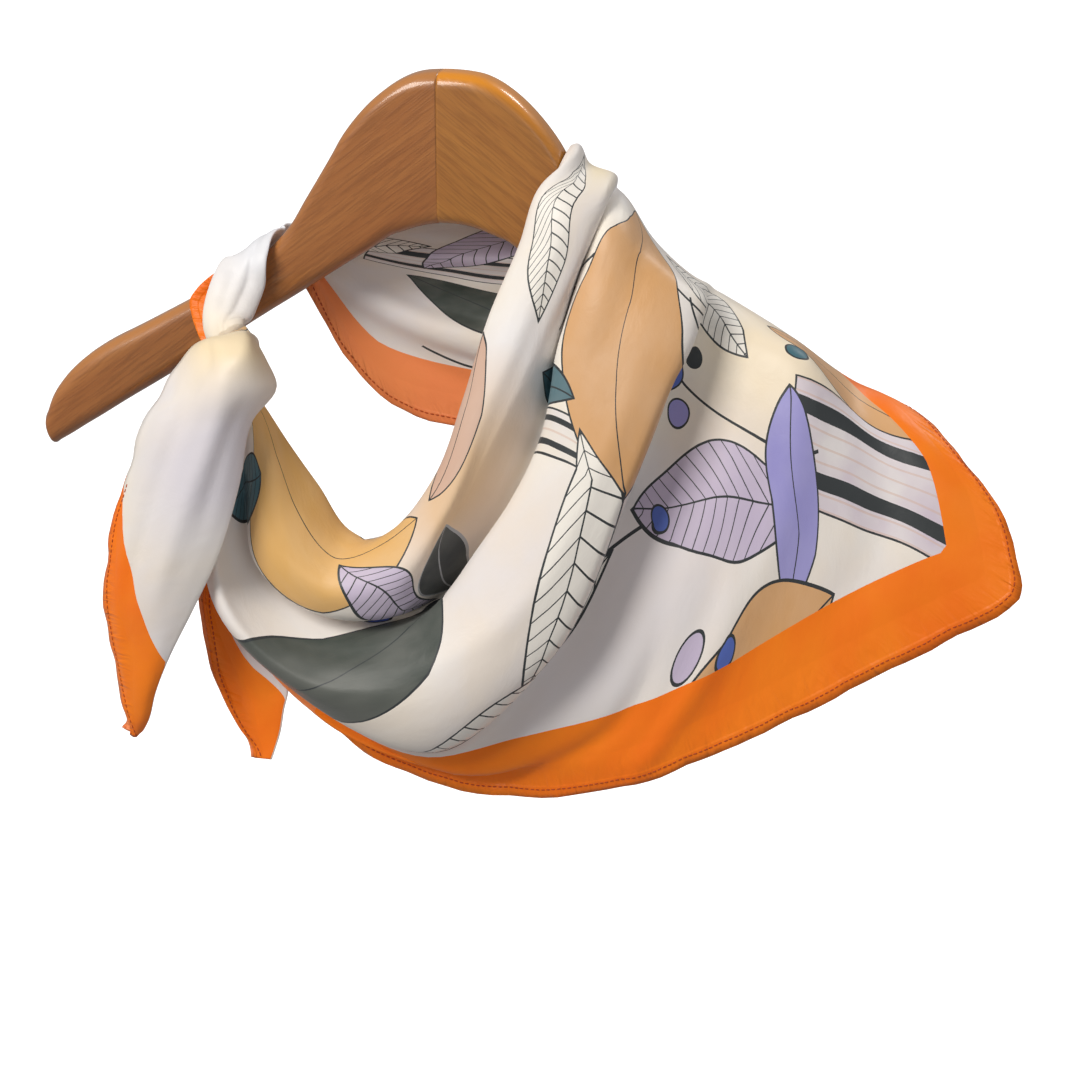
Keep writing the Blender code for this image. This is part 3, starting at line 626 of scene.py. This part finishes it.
# Striped bands: place, angle, half length, half width and ground
STRIPES = (
    (49.4, 41.0, 104, 6.0, 2.7, (0.66, 0.57, 0.66)),
    (57.0, 17.2, 84, 4.6, 1.1, (0.86, 0.80, 0.70)),
    (33.0, 14.0, 35, 6.0, 1.9, PALE),
)
# Stems: centre, radius, first and last angle, half width
STEMS = (
    (58.0, 20.0, 11.5, 150, 236, 0.08), (66.0, 35.0, 10.0, 180, 275, 0.08),
    (44.0, 32.0, 8.5, -70, 40, 0.08), (63.0, 6.0, 9.0, 60, 128, 0.08),
    (34.0, 18.0, 8.0, 20, 160, 0.08),
)
# Berries: place, radius and colour
BERRIES = (
    (51.6, 27.3, 0.95, BLUE), (53.4, 28.6, 0.7, LILAC), (49.9, 28.4, 0.6, INK),
    (58.6, 28.4, 0.6, BLUE), (58.9, 25.2, 0.45, INK), (61.4, 33.9, 0.75, LAVENDER),
    (60.0, 35.6, 0.5, BLUE), (68.4, 12.4, 0.6, BLUE), (46.6, 34.4, 0.6, TEAL),
    (47.8, 11.6, 0.5, TEAL), (33.0, 4.6, 0.8, BLUE),
)


def flat_place(s, centre, angle):
    """x and y of a point of the flat cut, seen from one motif."""
    place = s.add(
        "ShaderNodeMapping",
        {"Vector": s.flat, "Location": (*centre, 0), "Rotation": (0, 0, math.radians(angle))},
        vector_type="TEXTURE",
    )
    apart = s.add("ShaderNodeSeparateXYZ", {0: place.outputs[0]})
    return place.outputs[0], apart.outputs[0], apart.outputs[1]


def paint_leaf(s, colour, x, y, angle, long, wide, fill, veins):
    radius = (long**2 + wide**2) / (2 * wide)
    _, px, py = flat_place(s, (x, y), angle)
    up = s.math("ABSOLUTE", py)
    lifted = s.math("ADD", up, radius - wide)
    far = s.math("SQRT", s.math("MULTIPLY_ADD", px, px, s.math("MULTIPLY", lifted, lifted)))
    inside = s.math("LESS_THAN", far, radius)
    tone = s.mix(s.wash, fill, tuple(0.9 * v + 0.1 * c for v, c in zip(fill, CREAM)))
    colour = s.mix(inside, colour, tone)
    line = s.math("LESS_THAN", s.math("ABSOLUTE", s.math("SUBTRACT", far, radius)), 0.06)
    rib = s.math("MULTIPLY", s.math("LESS_THAN", up, 0.04), inside)
    line = s.math("MAXIMUM", line, rib)
    if veins:
        slant = s.math("ADD", px, s.math("MULTIPLY", up, -0.8))
        comb = s.math("PINGPONG", slant, veins / 2)
        line = s.math("MAXIMUM", line, s.math("MULTIPLY", s.math("LESS_THAN", comb, 0.04), inside))
    ink = INK if fill != INK else (0.42, 0.42, 0.44)
    return s.mix(line, colour, ink)


def on_arc(s, x, y, radius, first, last, half):
    """1 on a stretch of a ring."""
    place, px, py = flat_place(s, (x, y), (first + last) / 2)
    length = s.add("ShaderNodeVectorMath", {0: place}, operation="LENGTH").outputs["Value"]
    ring = s.math("COMPARE", length, radius, half)
    turn = s.math("ABSOLUTE", s.math("ARCTAN2", py, px))
    return s.math("MULTIPLY", ring, s.math("LESS_THAN", turn, math.radians((last - first) / 2)))


def paint_berry(s, colour, x, y, radius, fill):
    far = s.add("ShaderNodeVectorMath", {0: s.flat, 1: (x, y, 0)}, operation="DISTANCE")
    far = far.outputs["Value"]
    colour = s.mix(s.math("LESS_THAN", far, radius), colour, fill)
    return s.mix(s.math("COMPARE", far, radius, 0.055), colour, INK)


def paint_stripes(s, colour, x, y, angle, long, wide, ground):
    """A striped field with two dark bars, as in a woven band."""
    _, px, py = flat_place(s, (x, y), angle)
    inside = s.math("MULTIPLY", s.math("COMPARE", px, 0.0, long), s.math("COMPARE", py, 0.0, wide))
    fine = s.math("LESS_THAN", s.math("PINGPONG", py, 0.32), 0.05)
    field = s.mix(s.math("MULTIPLY", fine, 0.45), s.mix(s.wash, ground, PALE), ROSE)
    off = s.math("ABSOLUTE", py)
    field = s.mix(s.math("COMPARE", off, wide * 0.52, wide * 0.13), field, INK)
    edge = s.math("MAXIMUM", s.math("GREATER_THAN", off, wide - 0.1),
                  s.math("GREATER_THAN", s.math("ABSOLUTE", px), long - 0.1))
    return s.mix(inside, colour, s.mix(edge, field, INK))


def printed_satin():
    """Cream satin with the printed pattern, the orange border and a machine-stitched hem."""
    s = Shader("satin_print")
    s.flat = s.add("ShaderNodeUVMap", uv_map="cut").outputs[0]
    hem = s.add("ShaderNodeAttribute", attribute_name="hem").outputs["Fac"]
    under = s.add("ShaderNodeAttribute", attribute_name="under").outputs["Fac"]
    true_place = s.flat
    s.wash = s.between(s.noise(s.flat, 0.22, 3.0, 0.55), 0.35, 0.65)
    wander = s.add("ShaderNodeTexNoise", {"Vector": s.flat, "Scale": 0.2, "Detail": 0.0,
                                          "Roughness": 0.6}).outputs["Color"]
    s.flat = s.add("ShaderNodeVectorMath", {0: wander, 1: (1.3, 1.3, 0), 2: true_place},
                   operation="MULTIPLY_ADD").outputs[0]
    warm = s.between(s.noise(s.flat, 0.085, 1.0), 0.38, 0.62)
    colour = s.mix(warm, CREAM, PALE)
    colour = s.mix(s.math("MULTIPLY", s.wash, 0.35), colour, (0.90, 0.75, 0.55))
    for x, y, reach, share, tint in WASHES:
        far = s.add("ShaderNodeVectorMath", {0: s.flat, 1: (x, y, 0)}, operation="DISTANCE")
        soft = s.math("MULTIPLY", s.between(far.outputs["Value"], reach, 0.3 * reach), share)
        colour = s.mix(soft, colour, tint)
    for stripes in STRIPES:
        colour = paint_stripes(s, colour, *stripes)
    for x, y, radius, first, last, half in STEMS:
        colour = s.mix(on_arc(s, x, y, radius, first, last, half), colour, INK)
    for leaf in LEAVES:
        colour = paint_leaf(s, colour, *leaf)
    for berry in BERRIES:
        colour = paint_berry(s, colour, *berry)
    s.flat = true_place
    # The border, a little uneven where it was dyed, and lighter on the layer behind
    orange = s.mix(s.wash, (1.0, 0.232, 0.006), (0.97, 0.185, 0.004))
    orange = s.mix(s.math("MULTIPLY", under, 0.55), orange, (0.90, 0.34, 0.16))
    colour = s.mix(s.math("LESS_THAN", hem, BORDER_CM), colour, orange)
    # Painted shade: a darker orange band along the turned hem, where the rolled hem shades the
    # border
    folded = s.between(hem, 0.47, 0.40)
    colour = s.mix(s.math("MULTIPLY", folded, 0.16), colour, (0.60, 0.09, 0.004))
    # The weave, fine pulls in the cloth, and the turned hem with its puckers
    weave = s.add("ShaderNodeTexWave", {"Vector": s.flat, "Scale": 14.0, "Distortion": 1.5,
                                        "Detail": 1.0, "Detail Scale": 2.0})
    weave.bands_direction = "DIAGONAL"
    normal = s.bump(weave.outputs["Fac"], 0.10, 0.00006)
    pulls = s.noise(s.flat, 0.55, 4.0, 0.6, 0.4)
    normal = s.bump(pulls, 0.35, 0.0012, normal)
    u = s.add("ShaderNodeSeparateXYZ", {0: s.flat}).outputs[0]
    legs = []
    for turn in (45, -45):
        across = s.add("ShaderNodeMapping", {"Vector": s.flat, "Scale": (2.2, 0.4, 1),
                                             "Rotation": (0, 0, math.radians(turn))})
        legs.append(s.noise(across.outputs[0], 1.0, 2.0, 0.6, 0.5))
    pucker = s.mix(s.math("GREATER_THAN", u, 49.5), legs[0], legs[1])
    pucker = s.math("MULTIPLY", pucker, s.between(hem, 1.5, 0.2))
    normal = s.bump(pucker, 1.0, 0.0022, normal)
    step = s.between(hem, 0.50, 0.42)
    normal = s.bump(step, 0.7, 0.0003, normal)
    return s.surfaced({"Base Color": colour, "Roughness": 0.43, "Specular IOR Level": 0.34,
                       "Sheen Weight": 0.12, "Sheen Roughness": 0.45, "Normal": normal})


def thread():
    s = Shader("stitching_thread")
    place = s.add("ShaderNodeTexCoord").outputs["Object"]
    twist = s.noise(place, 2500.0, 2.0)
    colour = s.mix(twist, (0.60, 0.09, 0.006), (0.38, 0.05, 0.004))
    return s.surfaced({"Base Color": colour, "Roughness": 0.6,
                       "Normal": s.bump(twist, 0.4, 0.0002)})


def lacquered_wood(name, light, dark, edge, slope):
    """Straight grain along the arm under a gloss lacquer, with a painted highlight in the colour
    edge where the rounded upper edge faces up.
    """
    s = Shader(name)
    place = s.add("ShaderNodeTexCoord").outputs["Object"]
    turned = s.add("ShaderNodeMapping",
                   {"Vector": place, "Rotation": (0, math.radians(slope), 0)}).outputs[0]
    grain = s.add("ShaderNodeMapping", {"Vector": turned, "Scale": (7, 40, 190)}).outputs[0]
    pores = s.add("ShaderNodeMapping", {"Vector": turned, "Scale": (60, 300, 900)}).outputs[0]
    bands = s.between(s.noise(grain, 1.0, 4.0, 0.6, 0.3), 0.3, 0.7)
    fine = s.between(s.noise(pores, 1.0, 2.0, 0.6), 0.45, 0.62)
    tone = s.noise(place, 9.0, 2.0)
    colour = s.mix(bands, light, dark)
    colour = s.mix(s.math("MULTIPLY", fine, 0.35), colour, tuple(0.45 * v for v in dark))
    colour = s.mix(s.math("MULTIPLY", s.between(tone, 0.4, 0.7), 0.3), colour,
                   (0.36, 0.105, 0.02))
    # Painted highlight: the rounded upper edge, where it faces up, turns towards the colour edge
    facing_up_highlight = s.add("ShaderNodeSeparateXYZ",
                   {0: s.add("ShaderNodeNewGeometry").outputs["Normal"]}).outputs[2]
    colour = s.mix(s.between(facing_up_highlight, 0.25, 0.75), colour, edge)
    return s.surfaced({"Base Color": colour, "Roughness": 0.42, "Coat Weight": 0.7,
                       "Coat Roughness": 0.13, "Normal": s.bump(fine, 0.25, 0.0002)})


def pale_floor():
    s = Shader("pale_floor")
    place = s.add("ShaderNodeTexCoord").outputs["Object"]
    tone = s.mix(s.noise(place, 1.5, 2.0), (0.86, 0.86, 0.86), (0.88, 0.88, 0.88))
    return s.surfaced({"Base Color": tone, "Roughness": 0.8})


def pale_backdrop():
    s = Shader("pale_backdrop")
    place = s.add("ShaderNodeTexCoord").outputs["Object"]
    tone = s.mix(s.noise(place, 0.2, 2.0), (0.96, 0.96, 0.96), (1.0, 1.0, 1.0))
    return s.surfaced({"Base Color": (0, 0, 0, 1), "Emission Color": tone,
                       "Emission Strength": 1.0})


# ---------------------------------------------------------------- pieces

def section_ring(top, under, inset=0.0, steps=6):
    """One section of the board from its top edge to its underside, with rounded edges."""
    down = unit(under - top)
    length = np.linalg.norm(under - top)
    radius = min(ROUND, length / 2 - 1) - inset / 2
    long, thick = length / 2 - radius - inset, BOARD / 2 - radius - inset
    ring = []
    for corner in range(4):
        for step in range(steps + 1):
            angle = math.radians(90 * (corner + step / steps))
            along = (long if corner < 2 else -long) + radius * math.sin(angle)
            y = (thick if corner in (0, 3) else -thick) + radius * math.cos(angle)
            x, z = (top + under) / 2 + down * along
            ring.append((x, y, z))
    return ring


def ring_faces(rings, sides):
    """The faces of a closed body made of rings of points, one after the other."""
    last = (rings - 1) * sides
    faces = [list(range(sides))[::-1], [last + k for k in range(sides)]]
    for i in range(rings - 1):
        for k in range(sides):
            a, b = i * sides + k, i * sides + (k + 1) % sides
            faces.append([a, b, b + sides, a + sides])
    return faces


def outward(obj):
    work = bmesh.new()
    work.from_mesh(obj.data)
    if work.calc_volume(signed=True) < 0:
        bmesh.ops.reverse_faces(work, faces=work.faces)
    work.to_mesh(obj.data)
    work.free()
    return obj


def hanger_half(name, side, surface):
    start = (CENTRE_X - SEAM_X) * -side + 0.01
    rows = [(start, -0.15, start, -70.6)] + [row for row in ARM if row[0] > start + 2]
    lines = smooth_line(rows, (ARM_CUTS,) * (len(rows) - 1))
    rings = [section_ring(line[:2], line[2:]) for line in lines]
    end = lines[-1].reshape(2, 2)
    out = unit((end - lines[-2].reshape(2, 2)).sum(axis=0))
    for turn in (20, 45, 70, 90):
        angle = math.radians(turn)
        far, inset = END_ROUND * math.sin(angle), END_ROUND * (1 - math.cos(angle))
        rings.append(section_ring(*(end + out * far), inset=inset))
    points = np.array(rings).reshape(-1, 3)
    points[:, 0] = CENTRE_X + side * points[:, 0]
    points[:, 1] -= np.abs(points[:, 0] - SEAM_X) * LEAN
    return outward(mesh_object(name, points, ring_faces(len(rings), len(rings[0])), surface))


def drape_grid():
    """The scarf from the knot over the crest to the roll, as one surface."""
    names = list(FRONT_FOLDS)
    table = [FRONT_FOLDS[n] + BACK_FOLDS[n] for n in names]
    across = [cut * ACROSS_TIMES for cut in ACROSS_CUTS]
    return lattice(table, (ALONG_CUTS,) * (len(table[0]) - 1), across, CORNER)


def flat_drape(grid):
    """The place of each grid point on the flat folded square, and its distance from the hem.
    Distances near the hem are true. The built surface is smaller than its place on the square,
    so the print lies closer together towards the neck."""
    crest, corner = ALONG_CUTS * 12, ALONG_CUTS * CORNER
    neck = lengths_along(grid, 1)[0] / 10
    hem = lengths_along(grid, 1)[-1] / 10
    places = CREST_CM + (neck[crest] - neck)
    fold = np.stack([places, np.zeros_like(places)], axis=1)
    walked = (hem - hem[corner]) / math.sqrt(2)
    edge = np.stack([LEG_CM - walked, LEG_CM - np.abs(walked)], axis=1)
    down = lengths_along(grid, 0) / 10
    from_hem = down[-1] - down
    length, straight = down[-1], np.linalg.norm(edge - fold, axis=1)
    share = from_hem / straight + (1 - length / straight) * (from_hem / length) ** 3
    flat = edge + (fold - edge) * share[..., None]
    u, v = flat[..., 0], flat[..., 1]
    return flat, np.minimum(u - v, 2 * LEG_CM - u - v) / math.sqrt(2)


def beside_hem(grid, normal, inset, height, flip=False):
    """A line on the cloth a little in from its last row, and the direction away from it."""
    down = lengths_along(grid, 0)
    line, up = [], []
    for i in range(grid.shape[1]):
        at = down[-1, i] - inset
        line.append([np.interp(at, down[:, i], grid[:, i, k]) for k in range(3)])
        up.append([np.interp(at, down[:, i], normal[:, i, k]) for k in range(3)])
    line, up = np.array(line), unit(np.array(up))
    side = -1 if flip else 1
    return line + up * height * side, up * side


def tail_grid(table, cuts_along=6, cuts_across=6):
    rows = np.array(table, float).transpose(1, 0, 2)
    return lattice(rows, (cuts_along,) * (len(table) - 1), (cuts_across,) * (len(rows) - 1))


def bundle_grid(table, sides, cuts, folds):
    """A closed roll of gathered cloth: grid[along][round], with long uneven folds."""
    centres = np.array([row[0] for row in table], float)
    sizes = np.array([(*row[1:3], *row[3]) for row in table], float)
    path = smooth_line(centres, (cuts,) * (len(table) - 1))
    sizes = smooth_line(sizes, (cuts,) * (len(table) - 1))
    tangent = unit(np.gradient(path, axis=0))
    rings = []
    for i in range(len(path)):
        out = unit(sizes[i][2:] - tangent[i] * (sizes[i][2:] @ tangent[i]))
        wide = np.cross(tangent[i], out)
        turn = math.tau * np.arange(sides) / sides
        t = i / (len(path) - 1)
        fold = np.ones(sides)
        for place, width, depth, drift in folds:
            off = (turn - math.radians(place + drift * t) + math.pi) % math.tau - math.pi
            fold += depth * np.exp(-((off / math.radians(width)) ** 2))
        rings.append(
            path[i]
            + np.outer(sizes[i][0] * fold * np.cos(turn), wide)
            + np.outer(sizes[i][1] * fold * np.sin(turn), out)
        )
    return np.array(rings)


def bundle(name, table, surface, cut_at, folds, sides=64, cuts=8):
    grid = bundle_grid(table, sides, cuts, folds)
    rings = grid.shape[0]
    walked = lengths_along(grid, 0)[:, 0] / 10
    turned = np.arange(sides) / sides * 7.5
    flat = np.stack(np.meshgrid(walked, turned, indexing="ij"), axis=-1) + cut_at
    values = {"cut": flat.reshape(-1, 2), "hem": np.full(rings * sides, 9.0),
              "under": np.zeros(rings * sides)}
    faces = ring_faces(rings, sides)
    return outward(mesh_object(name, grid.reshape(-1, 3), faces, surface, values))


def build_scarf():
    satin, sewn = printed_satin(), thread()
    made = {}

    grid = drape_grid()
    normal = grid_normals(grid)
    flat, hem = flat_drape(grid)
    starts = np.insert(np.cumsum(ACROSS_CUTS), 0, 0) * ACROSS_TIMES
    grid = creased(grid, normal, CREASES, starts, ALONG_CUTS)
    grid = drawn_neck(grid, ALONG_CUTS)
    inward = unit(grid[-6, ALONG_CUTS * CORNER] - grid[-1, ALONG_CUTS * CORNER])
    for i, step in enumerate(CORNER_ROUND):
        column = ALONG_CUTS * CORNER + i - 2
        for r, share in ((-1, 1.0), (-2, 0.6), (-3, 0.25)):
            grid[r, column] += inward * step * share
    grid = waved_hem(grid, normal)
    normal = grid_normals(grid)
    made["drape"] = double_cloth("scarf_drape", grid, normal, satin, flat, hem)
    height = LAYER_GAP + SATIN / 2 + 0.1
    line, up = beside_hem(grid, normal, DRAPE_STITCH_INSET, height)
    made["drape_stitches"] = stitches("drape_stitches", line, up, sewn)
    line, up = beside_hem(grid, normal, DRAPE_STITCH_INSET, height, flip=True)
    made["drape_stitches_behind"] = stitches("drape_stitches_behind", line, up, sewn, skip=1.2)

    for name, table, shares, shifts, cut_at, first in (
        ("tail_front", TAIL_FRONT, FRONT_TAIL_BORDER, FRONT_TAIL_UNDER, (79.0, 1.0), 84.0),
        ("tail_rear", TAIL_REAR, REAR_TAIL_BORDER, REAR_TAIL_UNDER, (86.0, 1.0), 20.0),
    ):
        grid = tail_grid(table)
        normal = -grid_normals(grid)
        across = lengths_along(grid, 0)
        along = lengths_along(grid, 1)[len(grid) // 2] / 10
        width = across[-1]
        share = np.interp(-grid[0, :, 2], *np.array(shares).T)
        border = 3 * (across / width) / share
        flat = np.stack(
            [along[None] + 0 * across, (width[None] - across) / 10], axis=-1
        ) + np.array(cut_at)
        out = unit(grid[0] - grid[1])
        past = np.interp(-grid[0, :, 2], *np.array(shifts).T)
        fade = np.clip(1 - across / 9, 0, 1)[..., None]
        shift = out[None] * past[None, :, None] * fade
        grid = creased(grid, normal, TAIL_CREASES[name], np.arange(len(table[0])) * 6, 6)
        grid = waved_hem(grid[::-1], normal[::-1], 8.0)[::-1]
        made[name] = double_cloth(
            f"cloth_{name}", grid, normal, satin, flat, border, shift, fold_first=False
        )
        line, up = beside_hem(grid[::-1], normal[::-1], TAIL_STITCH_INSET, height)
        made[name + "_stitches"] = stitches(f"{name}_stitches", line, up, sewn, skip=first)

    made["roll"] = bundle("cloth_roll", ROLL, satin, (62.0, -16.0), ROLL_CREASES)
    made["knot"] = bundle("cloth_knot", KNOT, satin, (75.0, -16.0), KNOT_CREASES)
    grid = tail_grid(ROLL_BORDER, 6, 6)
    normal = grid_normals(grid)
    normal = normal * (-1 if normal[..., 1].mean() > 0 else 1)
    across = lengths_along(grid, 0) / 10
    flat = np.stack([lengths_along(grid, 1)[0] / 10 + 0 * across, across], axis=-1)
    made["edge"] = double_cloth(
        "cloth_roll_border", grid, normal, satin, flat + np.array((90.0, -12.0)), across,
        fold_first=False,
    )
    return made


def build_light_and_camera():
    scene = bpy.context.scene
    bpy.ops.mesh.primitive_plane_add(size=FLOOR_SIZE, location=(0, 0, FLOOR_Z))
    floor = bpy.context.object
    floor.name = "floor"
    floor.data.materials.append(pale_floor())
    bpy.ops.mesh.primitive_uv_sphere_add(segments=48, ring_count=24, radius=DOME_RADIUS)
    backdrop = bpy.context.object
    backdrop.name = "backdrop"
    backdrop.data.materials.append(pale_backdrop())
    backdrop.visible_shadow = False
    for stage in (floor, backdrop):
        stage.visible_diffuse = stage.visible_glossy = False

    world = bpy.data.worlds.new("white room")
    world.use_nodes = True
    world.node_tree.nodes["Background"].inputs["Color"].default_value = (1.0, 0.98, 0.97, 1)
    world.node_tree.nodes["Background"].inputs["Strength"].default_value = 0.30
    scene.world = world
    for name, place, size, power in (
        ("key", (-1.05, -1.5, 1.3), 1.1, 44),
        ("fill", (1.2, -1.8, 0.5), 1.2, 3),
        ("rim", (0.75, 0.9, 1.1), 0.35, 7),
        ("floor light", (0, 0, -0.9), 22.0, 1900),
    ):
        light = bpy.data.lights.new(name, "AREA")
        light.energy, light.size = power, size
        light.color = (1.0, 0.965, 0.91) if name == "key" else (1.0, 1.0, 1.0)
        obj = bpy.data.objects.new(name, light)
        obj.location = place
        target = Vector((0, 0, FLOOR_Z)) if size > 5 else Vector((0, 0, -0.15))
        obj.rotation_euler = (target - obj.location).to_track_quat("-Z", "Y").to_euler()
        scene.collection.objects.link(obj)

    data = bpy.data.cameras.new("camera")
    data.lens, data.sensor_width = 110.0, 36.0
    camera = bpy.data.objects.new("camera", data)
    turn, rise = math.radians(CAMERA_TURN), math.radians(CAMERA_RISE)
    right = Vector((math.cos(turn), math.sin(turn), 0))
    back = Vector((math.sin(turn) * math.cos(rise), -math.cos(turn) * math.cos(rise),
                   math.sin(rise)))
    up = back.cross(right)
    turned = Matrix((right, up, back)).transposed().to_4x4()
    camera.matrix_world = Matrix.Translation(CAMERA_PLACE) @ turned
    scene.collection.objects.link(camera)
    scene.camera = camera
    scene.view_settings.view_transform = "Standard"


def main():
    made = build_scarf()
    # The right half is a little lighter and yellower than the left, and its upper edge a brighter
    # amber: painted warm light and a painted highlight on that half
    left = lacquered_wood("lacquered_wood_left", (0.44, 0.175, 0.044), (0.33, 0.118, 0.028),
                          (0.50, 0.20, 0.05), 38)
    right = lacquered_wood("lacquered_wood_right", (0.46, 0.195, 0.034), (0.35, 0.135, 0.022),
                           (0.76, 0.27, 0.006), -38)
    made["left"] = hanger_half("wood_left", -1, left)
    made["right"] = hanger_half("wood_right", 1, right)
    for key, piece in made.items():
        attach(piece, "root")
    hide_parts("cowl_upper", "cowl_lower", "front_panel", "back_drape")
    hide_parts("tail_front")
    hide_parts("tail_rear")
    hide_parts("shoulder_roll")
    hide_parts("knot")
    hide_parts("roll_border")
    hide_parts("hanger_left")
    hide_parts("hanger_right")
    build_light_and_camera()


main()
